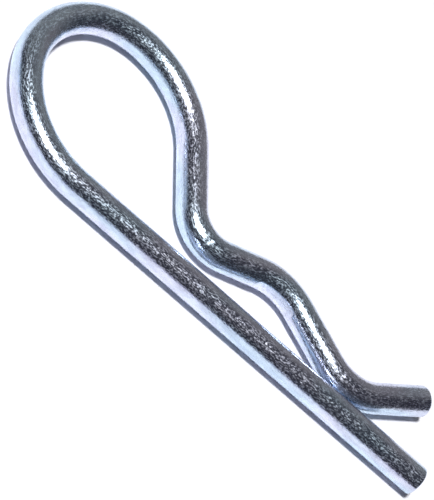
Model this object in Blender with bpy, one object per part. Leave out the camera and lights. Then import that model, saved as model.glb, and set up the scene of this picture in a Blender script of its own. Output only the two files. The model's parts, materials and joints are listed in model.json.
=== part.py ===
"""Hitch pin lock: a hairpin cotter bent flat from one length of round spring wire.

The clip lies on Z = 0. Its straight leg runs along +X, its closed loop is at the -X end, and its
wavy leg is on the +Y side. The wavy leg springs away from the straight leg by bending the wire at
the back of the loop, so the wire is made as two solids that meet there face to face.

All sizes are in metres and all turns in degrees.
"""
import math

import bmesh
import bpy
from mathutils import Vector

MM = 0.001

# The wire and its two sheared ends.
WIRE_DIAMETER = 3.76 * MM
END_CHAMFER = 0.3 * MM

# The loop is symmetric: a tight back between two wider shoulders.
BACK_RADIUS = 10.4 * MM
BACK_TURN = 104.4
SHOULDER_RADIUS = 12.8 * MM
SHOULDER_TURN = 69.3

# The straight leg, from the shoulder to its free end.
STRAIGHT_LEG_LENGTH = 53.1 * MM

# The wavy leg, from the shoulder to its free end. All radii are those of the wire's centre line.
WAIST_LEAD = 7.7 * MM
WAIST_RADIUS = 4.85 * MM
WAIST_TURN = 83.8
HUMP_LEAD = 5.0 * MM
HUMP_RADIUS = 8.2 * MM
HUMP_TURN = 46.3
DIP_RADIUS = 7.0 * MM
DIP_TURN = 63.3
TIP_LENGTH = 7.2 * MM

# The dip closes on the straight leg, and the two cut faces at the back of the loop nearly touch.
DIP_CLEARANCE = 0.15 * MM
CUT_GAP = 0.3 * MM

# The mesh's resolution, and the angle above which an edge stays sharp.
SIDES = 24
ARC_STEP = 5.0
SHARP_ANGLE = 35.0

# Bright zinc plate.
ZINC = (0.66, 0.68, 0.71, 1.0)
ZINC_ROUGHNESS = 0.3


def clear_scene():
    for old in list(bpy.data.objects):
        bpy.data.objects.remove(old, do_unlink=True)


class WirePath:
    """The wire's centre line in the plane of the clip, as stations of (point, heading)."""

    def __init__(self, heading):
        self.point = Vector((0.0, 0.0))
        self.heading = math.radians(heading)
        self.stations = []
        self.mark()

    def mark(self):
        self.stations.append((self.point.copy(), self.heading))

    def run(self, length):
        self.point += Vector((math.cos(self.heading), math.sin(self.heading))) * length
        self.mark()

    def bend(self, radius, turn):
        """Turn left for a positive angle and right for a negative one."""
        steps = max(1, math.ceil(abs(turn) / ARC_STEP))
        step = math.radians(turn) / steps
        chord = 2 * radius * math.sin(abs(step) / 2)
        for _ in range(steps):
            middle = self.heading + step / 2
            self.point += Vector((math.cos(middle), math.sin(middle))) * chord
            self.heading += step
            self.mark()


def straight_leg_path():
    """From the back of the loop, round the lower shoulder, to the free end."""
    path = WirePath(-BACK_TURN / 2 - SHOULDER_TURN)
    path.bend(BACK_RADIUS, BACK_TURN / 2)
    path.bend(SHOULDER_RADIUS, SHOULDER_TURN)
    path.run(STRAIGHT_LEG_LENGTH)
    return path.stations


def sprung_leg_path(straight_leg_y):
    """From the back of the loop, round the upper shoulder, to the flared tip.

    The run from the hump to the dip is as long as it takes to close the dip on the straight leg.
    """
    path = WirePath(180.0 - BACK_TURN / 2 - SHOULDER_TURN)
    path.bend(BACK_RADIUS, -BACK_TURN / 2)
    path.bend(SHOULDER_RADIUS, -SHOULDER_TURN)
    path.run(WAIST_LEAD)
    path.bend(WAIST_RADIUS, WAIST_TURN)
    path.run(HUMP_LEAD)
    path.bend(HUMP_RADIUS, -HUMP_TURN)
    fall_of_dip = DIP_RADIUS * (1 - math.cos(path.heading))
    dip_y = straight_leg_y + WIRE_DIAMETER + DIP_CLEARANCE
    path.run((path.point.y - fall_of_dip - dip_y) / -math.sin(path.heading))
    path.bend(DIP_RADIUS, DIP_TURN)
    path.run(TIP_LENGTH)
    return path.stations


def trim_start(stations, length):
    """Move the first station along its heading, to leave half of the gap at the cut."""
    point, heading = stations[0]
    along = Vector((math.cos(heading), math.sin(heading)))
    return [(point + along * length, heading)] + stations[1:]


def chamfer_end(stations):
    """The sweep's rings as (point, heading, radius), with a small chamfer at the sheared end."""
    radius = WIRE_DIAMETER / 2
    rings = [(point, heading, radius) for point, heading in stations]
    end, heading, _ = rings.pop()
    along = Vector((math.cos(heading), math.sin(heading)))
    rings.append((end - along * END_CHAMFER, heading, radius))
    rings.append((end, heading, radius - END_CHAMFER))
    return rings


def sweep_wire(name, rings):
    """Round wire along the rings, with its centre line in the plane Z = 0 and a flat face at each end."""
    mesh = bmesh.new()
    loops = []
    for point, heading, radius in rings:
        across = Vector((-math.sin(heading), math.cos(heading), 0.0))
        centre = Vector((point.x, point.y, 0.0))
        loop = []
        for side in range(SIDES):
            angle = 2 * math.pi * side / SIDES
            offset = across * math.cos(angle) + Vector((0.0, 0.0, math.sin(angle)))
            loop.append(mesh.verts.new(centre + offset * radius))
        loops.append(loop)
    for near, far in zip(loops, loops[1:]):
        for side in range(SIDES):
            after = (side + 1) % SIDES
            mesh.faces.new((near[side], near[after], far[after], far[side]))
    mesh.faces.new(loops[0])
    mesh.faces.new(loops[-1])
    bmesh.ops.recalc_face_normals(mesh, faces=mesh.faces)
    data = bpy.data.meshes.new(name)
    mesh.to_mesh(data)
    mesh.free()
    data.shade_smooth()
    data.set_sharp_from_angle(angle=math.radians(SHARP_ANGLE))
    return data


def wire_piece(name, stations):
    """One piece of the wire, cut square at the back of the loop and sheared at its free end."""
    return sweep_wire(name, chamfer_end(trim_start(stations, CUT_GAP / 2)))


def bounds_centre(meshes):
    corners = [vertex.co for data in meshes for vertex in data.vertices]
    middle_x = (min(c.x for c in corners) + max(c.x for c in corners)) / 2
    middle_y = (min(c.y for c in corners) + max(c.y for c in corners)) / 2
    return Vector((middle_x, middle_y, 0.0))


def zinc_plate(name):
    material = bpy.data.materials.new(name)
    material.use_nodes = True
    shader = material.node_tree.nodes["Principled BSDF"]
    shader.inputs["Base Color"].default_value = ZINC
    shader.inputs["Metallic"].default_value = 1.0
    shader.inputs["Roughness"].default_value = ZINC_ROUGHNESS
    return material


def place(data, location):
    """Add the mesh as an object of the same name, with its own material."""
    data.materials.append(zinc_plate(data.name))
    piece = bpy.data.objects.new(data.name, data)
    piece.location = location
    bpy.context.scene.collection.objects.link(piece)


def main():
    clear_scene()
    straight = straight_leg_path()
    sprung = sprung_leg_path(straight[-1][0].y)
    meshes = [wire_piece("straight_leg", straight), wire_piece("sprung_leg", sprung)]
    # Both paths start on the spring axis, so it is the origin of both pieces. They are placed so
    # that the clip lies on Z = 0 with the middle of its bounding box at X = Y = 0.
    spring_axis = Vector((0.0, 0.0, WIRE_DIAMETER / 2)) - bounds_centre(meshes)
    for data in meshes:
        place(data, spring_axis)


main()
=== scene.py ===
"""The looks of the hitch pin lock: a hairpin cotter of bright zinc-plated spring wire on a white sweep.

The wire is drawn as two pieces that meet on the straight leg, just short of the loop. The first is
rigid and rides on the straight leg. The second runs round the loop to the wavy leg's tip and is not
attached to either leg.

Lengths are in metres and turns in degrees unless a name says otherwise. Along the wire, a place is
its arc length from the straight leg's free end. Round the wire, a place is its angle from the left
of the direction of travel, with 90 degrees at the top.
"""

import json
import math

import bmesh
import bpy
from mathutils import Matrix, Vector

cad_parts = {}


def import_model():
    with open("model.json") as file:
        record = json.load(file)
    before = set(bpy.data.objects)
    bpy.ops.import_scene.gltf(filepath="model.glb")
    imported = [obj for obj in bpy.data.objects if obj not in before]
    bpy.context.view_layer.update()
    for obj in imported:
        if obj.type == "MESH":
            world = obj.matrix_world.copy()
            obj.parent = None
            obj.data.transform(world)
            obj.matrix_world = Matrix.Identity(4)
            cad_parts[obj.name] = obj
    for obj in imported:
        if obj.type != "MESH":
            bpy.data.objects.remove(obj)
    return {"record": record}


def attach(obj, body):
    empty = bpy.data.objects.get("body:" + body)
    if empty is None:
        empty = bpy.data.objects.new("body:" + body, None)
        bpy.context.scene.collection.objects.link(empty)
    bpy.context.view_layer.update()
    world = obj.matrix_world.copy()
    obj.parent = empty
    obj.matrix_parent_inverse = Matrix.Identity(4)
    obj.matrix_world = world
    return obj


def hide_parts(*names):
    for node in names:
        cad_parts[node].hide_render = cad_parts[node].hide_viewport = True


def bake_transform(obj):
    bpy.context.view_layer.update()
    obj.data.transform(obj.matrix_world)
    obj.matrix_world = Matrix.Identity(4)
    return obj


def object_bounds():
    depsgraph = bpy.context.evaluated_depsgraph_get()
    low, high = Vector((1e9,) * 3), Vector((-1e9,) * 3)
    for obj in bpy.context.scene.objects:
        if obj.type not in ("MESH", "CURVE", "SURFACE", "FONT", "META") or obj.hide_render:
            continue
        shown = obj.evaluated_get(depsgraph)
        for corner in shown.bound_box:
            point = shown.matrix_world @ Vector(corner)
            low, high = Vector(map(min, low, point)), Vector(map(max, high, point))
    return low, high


MM = 0.001

# The wire's bends, as in the part.
WIRE_RADIUS = 1.88 * MM
BACK_RADIUS = 10.4 * MM
BACK_TURN = 104.4
SHOULDER_RADIUS = 12.8 * MM
SHOULDER_TURN = 69.3
STRAIGHT_LEG_LENGTH = 53.1 * MM
WAIST_LEAD = 7.7 * MM
WAIST_RADIUS = 4.85 * MM
WAIST_TURN = 83.8
HUMP_LEAD = 5.0 * MM
HUMP_RADIUS = 8.2 * MM
HUMP_TURN = 46.3
DIP_RADIUS = 7.0 * MM
DIP_TURN = 63.3
TIP_LENGTH = 7.2 * MM
DIP_CLEARANCE = 0.15 * MM

# The two pieces meet this far from the free end, on the straight part of the wire.
SEAM = STRAIGHT_LEG_LENGTH - 1.5 * MM

# The mesh's resolution, and the angle above which an edge stays sharp.
SIDES = 96
RING_STEP = 0.15 * MM
SHARP_ANGLE = 50.0

# The sheared ends: a slightly dished face with a rounded edge. The material is rougher down to
# FACE_DEPTH behind the end, and this fades out by twice that depth.
END_ROUND = 0.3 * MM
END_ROUND_STEPS = 5
END_FACE_STEPS = 8
END_DISH = 0.05 * MM
FACE_DEPTH = 0.08 * MM
SHEARED_ROUGHNESS = 0.42

# The camera, round the middle of the CAD box. Its values and most of the wire's sizes above come
# from a fit of the wire's outline in the reference picture.
CAMERA_AZIMUTH = -22.93
CAMERA_ELEVATION = 47.21
CAMERA_ROLL = 58.61
CAMERA_DISTANCE = 272.0 * MM
CAMERA_LENS_MM = 172.7
CAMERA_AIM = Vector((-1.35, -4.79, 0.0)) * MM
CAMERA_SENSOR_MM = 36.0
CAMERA_CLIP_START = 0.01
CAMERA_CLIP_END = 10.0

# Flats that the bending pins pressed into the inner side of the bends: the place that each is
# measured from, its start and end after that place, its angle round the wire, and its depth. The
# first two begin and end about where a script placed them from the reference picture.
FLATS = (
    ("hump", -0.3 * MM, 7.0 * MM, 172.0, 0.14 * MM),
    ("waist lead", -3.1 * MM, 0.2 * MM, 172.0, 0.10 * MM),
    ("waist", 0.4 * MM, 6.6 * MM, -8.0, 0.08 * MM),
    ("dip", 0.5 * MM, 7.2 * MM, -6.0, 0.06 * MM),
    ("loop", 1.0 * MM, 9.0 * MM, 172.0, 0.05 * MM),
)
FLAT_FADE = 0.25 * MM

# Nicks and puckers in the plate: the place that each is measured from, its distance after that
# place, its angle round the wire, its length along the wire, its width, and its depth. One with a
# negative depth is raised. The distances and angles of twelve of them are the results of a script
# that carried marks over from the reference picture, rounded or shifted by up to 0.15 mm and 2
# degrees. All else was set one by one.
DENTS = (
    ("waist", 4.3 * MM, 112.0, 0.5 * MM, 0.8 * MM, 0.03 * MM),
    ("waist", 4.8 * MM, 104.0, 0.4 * MM, 0.5 * MM, -0.03 * MM),
    ("waist", 5.2 * MM, 118.0, 0.4 * MM, 0.4 * MM, 0.03 * MM),
    ("dip", 1.6 * MM, 118.0, 0.5 * MM, 0.4 * MM, 0.03 * MM),
    ("dip", 2.1 * MM, 110.0, 0.4 * MM, 0.6 * MM, -0.03 * MM),
    ("dip", 3.7 * MM, 134.0, 0.4 * MM, 0.35 * MM, 0.05 * MM),
    ("dip", 4.5 * MM, 129.0, 0.35 * MM, 0.3 * MM, 0.04 * MM),
    ("hump lead", 2.0 * MM, 132.0, 0.4 * MM, 0.35 * MM, 0.055 * MM),
    ("hump lead", 3.4 * MM, 136.0, 0.4 * MM, 0.35 * MM, 0.055 * MM),
    ("loop", 26.2 * MM, 124.0, 0.35 * MM, 0.35 * MM, 0.04 * MM),
    ("loop", 31.4 * MM, 136.0, 0.4 * MM, 0.3 * MM, 0.04 * MM),
    ("loop", 34.0 * MM, 114.0, 0.5 * MM, 0.4 * MM, 0.04 * MM),
    ("loop", 34.9 * MM, 119.0, 0.45 * MM, 0.35 * MM, 0.04 * MM),
    ("waist lead", 3.9 * MM, 126.0, 0.7 * MM, 0.5 * MM, 0.03 * MM),
    ("waist lead", 4.8 * MM, 121.0, 0.5 * MM, 0.35 * MM, 0.03 * MM),
    ("loop", 14.3 * MM, 14.0, 0.8 * MM, 0.25 * MM, 0.04 * MM),
    ("start", 38.6 * MM, 10.0, 0.4 * MM, 0.3 * MM, 0.045 * MM),
    ("start", 19.4 * MM, 52.0, 0.6 * MM, 0.5 * MM, 0.07 * MM),
    ("start", 25.4 * MM, 68.0, 0.5 * MM, 0.45 * MM, 0.06 * MM),
    ("start", 45.1 * MM, 40.0, 0.4 * MM, 0.35 * MM, 0.04 * MM),
    ("start", 9.7 * MM, 75.0, 0.4 * MM, 0.35 * MM, 0.04 * MM),
    ("start", 31.2 * MM, 215.0, 0.6 * MM, 0.4 * MM, 0.04 * MM),
    ("loop", 21.0 * MM, 300.0, 0.5 * MM, 0.4 * MM, 0.04 * MM),
    ("hump end", 3.2 * MM, 60.0, 0.45 * MM, 0.35 * MM, 0.04 * MM),
    ("tip", 3.5 * MM, 45.0, 0.45 * MM, 0.3 * MM, 0.04 * MM),
)

# The name of the mesh attribute that holds each point's place on the straightened wire.
STRAIGHTENED = "straightened"

# The plate's patterns, as (length along the wire, width round it).
MOTTLE_SIZE = (2.4 * MM, 0.8 * MM)
TINT_SIZE = (12.0 * MM, 3.0 * MM)
GRAIN_SIZE = (0.42 * MM, 0.14 * MM)
DRAW_LINE_SIZE = (5.0 * MM, 0.4 * MM)
PIT_CELL_SIZE = (0.36 * MM, 0.26 * MM)

# The plate's two passivate tints, and the darker colour of its mottle with its greatest strength.
CYAN_TINT = (0.69, 0.84, 0.97, 1.0)
LAVENDER_TINT = (0.79, 0.83, 0.97, 1.0)
MOTTLE_COLOUR = (0.74, 0.74, 0.78, 1.0)
MOTTLE_STRENGTH = 0.8

# The plate's roughness where the grain is low and high, and the heights of its relief.
POLISHED_ROUGHNESS = 0.16
DULL_ROUGHNESS = 0.44
DRAW_LINE_HEIGHT = 0.007 * MM
GRAIN_HEIGHT = 0.012 * MM
PIT_DEPTH = 0.010 * MM

# The white sweep that the clip lies on.
SWEEP_RADIUS = 1.2
SWEEP_SIDES = 96
SWEEP_COLOUR = (0.89, 0.90, 0.96, 1.0)
SWEEP_ROUGHNESS = 0.9
SWEEP_SPECULAR = 0.1

# The soft box: its edges as angles from straight up, its height, its radiance and its colour.
SOFT_BOX_X = (-17.8, -9.8)
SOFT_BOX_Y = (-13.0, -4.5)
SOFT_BOX_HEIGHT = 4.0
SOFT_BOX_RADIANCE = 182.0
SOFT_BOX_COLOUR = (1.0, 0.985, 0.97)

# The room's colours, and the horizon's upper edge as a height on a sphere of radius 1. The edge
# falls by the given amounts towards +X and towards +Y.
ROOM_COLOUR = (0.036, 0.036, 0.046, 1.0)
FAR_SIDE_COLOUR = (0.20, 0.19, 0.19, 1.0)
LEFT_SIDE_COLOUR = (0.45, 0.52, 0.62, 1.0)
HORIZON_COLOUR = (1.05, 1.06, 1.40, 1.0)
HORIZON_FADE = (0.10, 0.06)
HORIZON_FALL_X = 0.09
HORIZON_FALL_Y = 0.07


class WirePath:
    """The wire's centre line in the plane of the clip, as stations of (arc length, point, heading)."""

    def __init__(self, point, heading):
        self.point = point.copy()
        self.heading = math.radians(heading)
        self.length = 0.0
        self.stations = [(0.0, self.point.copy(), self.heading)]
        self.marks = {"start": 0.0}

    def mark(self, name):
        self.marks[name] = self.length

    def run(self, length):
        steps = max(1, math.ceil(length / RING_STEP))
        start = self.point.copy()
        along = Vector((math.cos(self.heading), math.sin(self.heading)))
        for step in range(1, steps + 1):
            share = length * step / steps
            self.stations.append((self.length + share, start + along * share, self.heading))
        self.point = start + along * length
        self.length += length

    def bend(self, radius, turn):
        """Turn left for a positive angle and right for a negative one."""
        arc = radius * math.radians(abs(turn))
        side = math.copysign(1.0, turn)
        steps = max(1, math.ceil(arc / RING_STEP))
        centre = self.point + Vector((-math.sin(self.heading), math.cos(self.heading))) * radius * side
        start = self.heading
        for step in range(1, steps + 1):
            heading = start + math.radians(turn) * step / steps
            point = centre + Vector((math.sin(heading), -math.cos(heading))) * radius * side
            self.stations.append((self.length + arc * step / steps, point, heading))
        self.point = point
        self.heading = heading
        self.length += arc


def whole_wire(free_end):
    """From the straight leg's free end, round the loop, to the flared tip of the wavy leg."""
    path = WirePath(free_end, 180.0)
    path.run(STRAIGHT_LEG_LENGTH)
    path.mark("loop")
    path.bend(SHOULDER_RADIUS, -SHOULDER_TURN)
    path.bend(BACK_RADIUS, -BACK_TURN)
    path.bend(SHOULDER_RADIUS, -SHOULDER_TURN)
    path.mark("waist lead")
    path.run(WAIST_LEAD)
    path.mark("waist")
    path.bend(WAIST_RADIUS, WAIST_TURN)
    path.mark("hump lead")
    path.run(HUMP_LEAD)
    path.mark("hump")
    path.bend(HUMP_RADIUS, -HUMP_TURN)
    path.mark("hump end")
    fall_of_dip = DIP_RADIUS * (1 - math.cos(path.heading))
    dip_y = free_end.y + 2 * WIRE_RADIUS + DIP_CLEARANCE
    path.run((path.point.y - fall_of_dip - dip_y) / -math.sin(path.heading))
    path.mark("dip")
    path.bend(DIP_RADIUS, DIP_TURN)
    path.mark("tip")
    path.run(TIP_LENGTH)
    path.mark("end")
    return path


def surface_point(point, heading, radius, angle):
    across = Vector((-math.sin(heading), math.cos(heading), 0.0))
    centre = Vector((point.x, point.y, 0.0))
    return centre + across * (radius * math.cos(angle)) + Vector((0.0, 0.0, radius * math.sin(angle)))


def ring(mesh, layer, place, point, heading, radius_at):
    """One ring of vertices, each with its place on the straightened wire."""
    verts = []
    for side in range(SIDES):
        angle = 2 * math.pi * side / SIDES
        radius = radius_at(place, angle)
        vert = mesh.verts.new(surface_point(point, heading, radius, angle))
        vert[layer] = Vector((place, radius * math.cos(angle), radius * math.sin(angle)))
        verts.append(vert)
    return verts


def bridge(mesh, near, far):
    faces = []
    for side in range(SIDES):
        after = (side + 1) % SIDES
        faces.append(mesh.faces.new((near[side], near[after], far[after], far[side])))
    return faces


def angle_between(angle, other):
    """The signed difference between two angles, between half a turn back and half a turn on."""
    return (angle - other + math.pi) % (2 * math.pi) - math.pi


def worn_radius(marks):
    """The wire's radius at a place and an angle, with its flats and dents."""
    flats = []
    for start, low, high, angle, depth in FLATS:
        flats.append((marks[start] + low, marks[start] + high, math.radians(angle), depth))
    dents = []
    for start, after, angle, length, width, depth in DENTS:
        dents.append((marks[start] + after, math.radians(angle), length / 2, width / 2, depth))

    def radius_at(place, angle):
        radius = WIRE_RADIUS
        for low, high, middle, depth in flats:
            inside = min(place - low, high - place)
            if inside > 0:
                level = WIRE_RADIUS - depth * min(1.0, inside / FLAT_FADE)
                cosine = math.cos(angle_between(angle, middle))
                if cosine > 0:
                    radius = min(radius, level / cosine)
        for middle, across, length, width, depth in dents:
            along = (place - middle) / length
            if abs(along) < 3:
                round_it = angle_between(angle, across) * WIRE_RADIUS / width
                radius -= depth * math.exp(-(along * along) - round_it * round_it)
        return radius

    return radius_at


def wire_piece(name, stations, height, radius_at, first_end, last_end):
    """A length of the wire as a closed mesh. first_end and last_end say which ends are sheared."""
    mesh = bmesh.new()
    layer = mesh.verts.layers.float_vector.new(STRAIGHTENED)
    loops = []
    if first_end:
        loops += sheared_end(mesh, layer, stations[0], -1, radius_at)
        stations = [s for s in stations if s[0] > stations[0][0] + END_ROUND + RING_STEP / 3]
    tail = []
    if last_end:
        tail = sheared_end(mesh, layer, stations[-1], 1, radius_at)[::-1]
        stations = [s for s in stations if s[0] < stations[-1][0] - END_ROUND - RING_STEP / 3]
    for place, point, heading in stations:
        loops.append(ring(mesh, layer, place, point, heading, radius_at))
    loops += tail
    for near, far in zip(loops, loops[1:]):
        bridge(mesh, near, far)
    for closing in (loops[0], loops[-1]):
        mesh.faces.new(closing)
    bmesh.ops.recalc_face_normals(mesh, faces=mesh.faces)
    data = bpy.data.meshes.new(name)
    mesh.to_mesh(data)
    mesh.free()
    data.shade_smooth()
    data.set_sharp_from_angle(angle=math.radians(SHARP_ANGLE))
    piece = bpy.data.objects.new(name, data)
    piece.location.z = height
    bpy.context.scene.collection.objects.link(piece)
    return piece


def sheared_end(mesh, layer, station, direction, radius_at):
    """The rings of a sheared end, from the middle of its face out over its rounded edge."""
    place, point, heading = station
    along = Vector((math.cos(heading), math.sin(heading)))
    rings = []

    def add(back, radius_share):
        at = place - direction * back

        def scaled(where, angle):
            return radius_at(where, angle) * radius_share

        rings.append(ring(mesh, layer, at, point - along * (direction * back), heading, scaled))

    flat = 1 - END_ROUND / WIRE_RADIUS
    for step in range(1, END_FACE_STEPS + 1):
        share = step / END_FACE_STEPS
        add(END_DISH * (1 - share) ** 2, flat * share)
    for step in range(1, END_ROUND_STEPS + 1):
        turn = math.pi / 2 * step / END_ROUND_STEPS
        add(END_ROUND * (1 - math.cos(turn)), flat + (1 - flat) * math.sin(turn))
    return rings


def new_node(tree, kind, **settings):
    node = tree.nodes.new(kind)
    for name, value in settings.items():
        setattr(node, name, value)
    return node


def straightened(tree, size):
    """Places on the straightened wire, counted in units of the given length and width."""
    along, across = size
    place = new_node(tree, "ShaderNodeAttribute", attribute_name=STRAIGHTENED)
    scale = new_node(tree, "ShaderNodeMapping", vector_type="POINT")
    scale.inputs["Scale"].default_value = (1 / along, 1 / across, 1 / across)
    tree.links.new(place.outputs["Vector"], scale.inputs["Vector"])
    return scale.outputs["Vector"]


def stretched_noise(tree, size, detail, roughness):
    """Noise on the straightened wire, with features of about the given length and width."""
    texture = new_node(tree, "ShaderNodeTexNoise")
    texture.inputs["Scale"].default_value = 1.0
    texture.inputs["Detail"].default_value = detail
    texture.inputs["Roughness"].default_value = roughness
    tree.links.new(straightened(tree, size), texture.inputs["Vector"])
    return texture.outputs["Fac"]


def pits(tree, size):
    """Round pits in some of the cells of the given length and width, as a height from -1 to 0."""
    cells = new_node(tree, "ShaderNodeTexVoronoi")
    cells.inputs["Scale"].default_value = 1.0
    shade = new_node(tree, "ShaderNodeSeparateColor")
    tree.links.new(straightened(tree, size), cells.inputs["Vector"])
    tree.links.new(cells.outputs["Color"], shade.inputs["Color"])
    chosen = ramp(tree, shade.outputs["Red"], 0.55, 0.75, 0.0, 1.0)
    slope = ramp(tree, cells.outputs["Distance"], 0.05, 0.42, -1.0, 0.0)
    depth = new_node(tree, "ShaderNodeMath", operation="MULTIPLY")
    tree.links.new(chosen, depth.inputs[0])
    tree.links.new(slope, depth.inputs[1])
    return depth.outputs["Value"]


def ramp(tree, value, low, high, low_value, high_value):
    """Map a value between low and high to another range, and hold it outside."""
    node = new_node(tree, "ShaderNodeMapRange", clamp=True)
    tree.links.new(value, node.inputs["Value"])
    node.inputs["From Min"].default_value = low
    node.inputs["From Max"].default_value = high
    node.inputs["To Min"].default_value = low_value
    node.inputs["To Max"].default_value = high_value
    return node.outputs["Result"]


def bump(tree, height, distance, before=None):
    node = new_node(tree, "ShaderNodeBump")
    node.inputs["Strength"].default_value = 1.0
    node.inputs["Distance"].default_value = distance
    tree.links.new(height, node.inputs["Height"])
    if before is not None:
        tree.links.new(before, node.inputs["Normal"])
    return node.outputs["Normal"]


def rougher_ends(tree, roughness, wire_length):
    """The given roughness, but never less than that of sheared steel on the two end faces."""
    place = new_node(tree, "ShaderNodeAttribute", attribute_name=STRAIGHTENED)
    parts = new_node(tree, "ShaderNodeSeparateXYZ")
    tree.links.new(place.outputs["Vector"], parts.inputs["Vector"])
    along = parts.outputs["X"]
    first = ramp(tree, along, FACE_DEPTH, 2 * FACE_DEPTH, SHEARED_ROUGHNESS, 0.0)
    low = wire_length - 2 * FACE_DEPTH
    last = ramp(tree, along, low, low + FACE_DEPTH, 0.0, SHEARED_ROUGHNESS)
    for end in (first, last):
        node = new_node(tree, "ShaderNodeMath", operation="MAXIMUM")
        tree.links.new(roughness, node.inputs[0])
        tree.links.new(end, node.inputs[1])
        roughness = node.outputs["Value"]
    return roughness


def zinc_plate(wire_length):
    """Bright zinc plate over drawn wire: tinted, mottled, finely grained and pitted."""
    material = bpy.data.materials.new("zinc_plated_wire")
    material.use_nodes = True
    tree = material.node_tree
    shader = tree.nodes["Principled BSDF"]
    shader.inputs["Metallic"].default_value = 1.0
    mottle = stretched_noise(tree, MOTTLE_SIZE, 3.0, 0.6)
    tint = stretched_noise(tree, TINT_SIZE, 1.0, 0.5)
    passivate = new_node(tree, "ShaderNodeMix", data_type="RGBA")
    passivate.inputs["A"].default_value = CYAN_TINT
    passivate.inputs["B"].default_value = LAVENDER_TINT
    tree.links.new(ramp(tree, tint, 0.40, 0.60, 0.0, 1.0), passivate.inputs["Factor"])
    colour = new_node(tree, "ShaderNodeMix", data_type="RGBA", blend_type="MULTIPLY")
    colour.inputs["B"].default_value = MOTTLE_COLOUR
    tree.links.new(passivate.outputs["Result"], colour.inputs["A"])
    tree.links.new(ramp(tree, mottle, 0.62, 0.38, 0.0, MOTTLE_STRENGTH), colour.inputs["Factor"])
    tree.links.new(colour.outputs["Result"], shader.inputs["Base Color"])
    grain = stretched_noise(tree, GRAIN_SIZE, 3.0, 0.7)
    drawn = stretched_noise(tree, DRAW_LINE_SIZE, 2.0, 0.5)
    polish = ramp(tree, grain, 0.475, 0.61, POLISHED_ROUGHNESS, DULL_ROUGHNESS)
    tree.links.new(rougher_ends(tree, polish, wire_length), shader.inputs["Roughness"])
    normal = bump(tree, drawn, DRAW_LINE_HEIGHT)
    normal = bump(tree, grain, GRAIN_HEIGHT, normal)
    normal = bump(tree, pits(tree, PIT_CELL_SIZE), PIT_DEPTH, normal)
    tree.links.new(normal, shader.inputs["Normal"])
    return material


def white_sweep(height):
    mesh = bmesh.new()
    bmesh.ops.create_circle(mesh, cap_ends=True, segments=SWEEP_SIDES, radius=SWEEP_RADIUS)
    data = bpy.data.meshes.new("white_sweep")
    mesh.to_mesh(data)
    mesh.free()
    floor = bpy.data.objects.new("white_sweep", data)
    floor.location.z = height
    bpy.context.scene.collection.objects.link(floor)
    material = bpy.data.materials.new("white_sweep")
    material.use_nodes = True
    shader = material.node_tree.nodes["Principled BSDF"]
    shader.inputs["Base Color"].default_value = SWEEP_COLOUR
    shader.inputs["Roughness"].default_value = SWEEP_ROUGHNESS
    shader.inputs["Specular IOR Level"].default_value = SWEEP_SPECULAR
    data.materials.append(material)


def soft_box():
    """A level light overhead that fills its angles from straight up, as seen from the clip."""
    name = "overhead_soft_box"
    height = SOFT_BOX_HEIGHT
    low_x, high_x = [math.tan(math.radians(edge)) for edge in SOFT_BOX_X]
    low_y, high_y = [math.tan(math.radians(edge)) for edge in SOFT_BOX_Y]
    low = Vector((low_x, low_y)) * height
    high = Vector((high_x, high_y)) * height
    data = bpy.data.lights.new(name, "AREA")
    data.shape = "RECTANGLE"
    data.size = high.x - low.x
    data.size_y = high.y - low.y
    data.energy = SOFT_BOX_RADIANCE * math.pi * data.size * data.size_y
    data.color = SOFT_BOX_COLOUR
    light = bpy.data.objects.new(name, data)
    light.location = ((low.x + high.x) / 2, (low.y + high.y) / 2, height)
    bpy.context.scene.collection.objects.link(light)


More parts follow.
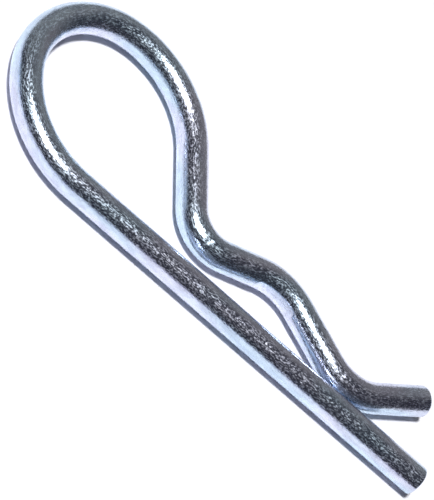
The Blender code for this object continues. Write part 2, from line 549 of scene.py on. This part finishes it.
def studio_world():
    """A dark room above a bright white horizon."""
    world = bpy.data.worlds.new("studio")
    bpy.context.scene.world = world
    world.use_nodes = True
    tree = world.node_tree
    background = tree.nodes["Background"]
    direction = new_node(tree, "ShaderNodeTexCoord")
    parts = new_node(tree, "ShaderNodeSeparateXYZ")
    tree.links.new(direction.outputs["Generated"], parts.inputs["Vector"])
    back = new_node(tree, "ShaderNodeMix", data_type="RGBA")
    back.inputs["A"].default_value = ROOM_COLOUR
    back.inputs["B"].default_value = FAR_SIDE_COLOUR
    tree.links.new(ramp(tree, parts.outputs["Y"], 0.25, 0.75, 0.0, 1.0), back.inputs["Factor"])
    left = new_node(tree, "ShaderNodeMix", data_type="RGBA")
    left.inputs["B"].default_value = LEFT_SIDE_COLOUR
    tree.links.new(back.outputs["Result"], left.inputs["A"])
    tree.links.new(ramp(tree, parts.outputs["X"], -0.94, -0.98, 0.0, 1.0), left.inputs["Factor"])
    horizon = new_node(tree, "ShaderNodeMix", data_type="RGBA")
    horizon.inputs["B"].default_value = HORIZON_COLOUR
    tree.links.new(left.outputs["Result"], horizon.inputs["A"])
    height = new_node(tree, "ShaderNodeMath", operation="ADD")
    tree.links.new(parts.outputs["Z"], height.inputs[0])
    tree.links.new(ramp(tree, parts.outputs["X"], 0.0, 1.0, 0.0, HORIZON_FALL_X), height.inputs[1])
    lower = new_node(tree, "ShaderNodeMath", operation="ADD")
    tree.links.new(height.outputs["Value"], lower.inputs[0])
    tree.links.new(ramp(tree, parts.outputs["Y"], 0.0, 0.6, 0.0, HORIZON_FALL_Y), lower.inputs[1])
    bright = ramp(tree, lower.outputs["Value"], HORIZON_FADE[0], HORIZON_FADE[1], 0.0, 1.0)
    tree.links.new(bright, horizon.inputs["Factor"])
    tree.links.new(horizon.outputs["Result"], background.inputs["Color"])
    background.inputs["Strength"].default_value = 1.0


def photo_camera(centre):
    azimuth = math.radians(CAMERA_AZIMUTH)
    elevation = math.radians(CAMERA_ELEVATION)
    level = Vector((math.sin(azimuth), -math.cos(azimuth), 0.0))
    back = level * math.cos(elevation) + Vector((0.0, 0.0, math.sin(elevation)))
    data = bpy.data.cameras.new("camera")
    data.sensor_width = CAMERA_SENSOR_MM
    data.lens = CAMERA_LENS_MM
    data.clip_start = CAMERA_CLIP_START
    data.clip_end = CAMERA_CLIP_END
    camera = bpy.data.objects.new("camera", data)
    bpy.context.scene.collection.objects.link(camera)
    facing = (-back).to_track_quat("-Z", "Y").to_matrix().to_4x4()
    rolled = facing @ Matrix.Rotation(math.radians(CAMERA_ROLL), 4, "Z")
    camera.matrix_world = Matrix.Translation(centre + CAMERA_AIM + back * CAMERA_DISTANCE) @ rolled
    bpy.context.scene.camera = camera


def main():
    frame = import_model()
    cad_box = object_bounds()
    lowest, highest = cad_box
    centre = (lowest + highest) / 2
    mount = next(m for m in frame["record"]["mounts"] if m["name"] == "straight_leg_end")
    free_end = Vector(mount["pos_m"][:2])
    path = whole_wire(free_end)
    radius_at = worn_radius(path.marks)
    zinc = zinc_plate(path.length)
    rigid = [s for s in path.stations if s[0] <= SEAM + RING_STEP / 2]
    bending = [s for s in path.stations if s[0] >= rigid[-1][0] - RING_STEP / 10]
    leg = wire_piece("straight_leg_wire", rigid, centre.z, radius_at, True, False)
    loop = wire_piece("loop_and_wavy_leg_wire", bending, centre.z, radius_at, False, True)
    for piece in (leg, loop):
        piece.data.materials.append(zinc)
    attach(leg, "straight_leg")
    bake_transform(loop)
    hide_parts("straight_leg")
    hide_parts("sprung_leg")
    white_sweep(lowest.z)
    soft_box()
    studio_world()
    photo_camera(centre)
    bpy.context.scene.view_settings.view_transform = "Standard"


main()
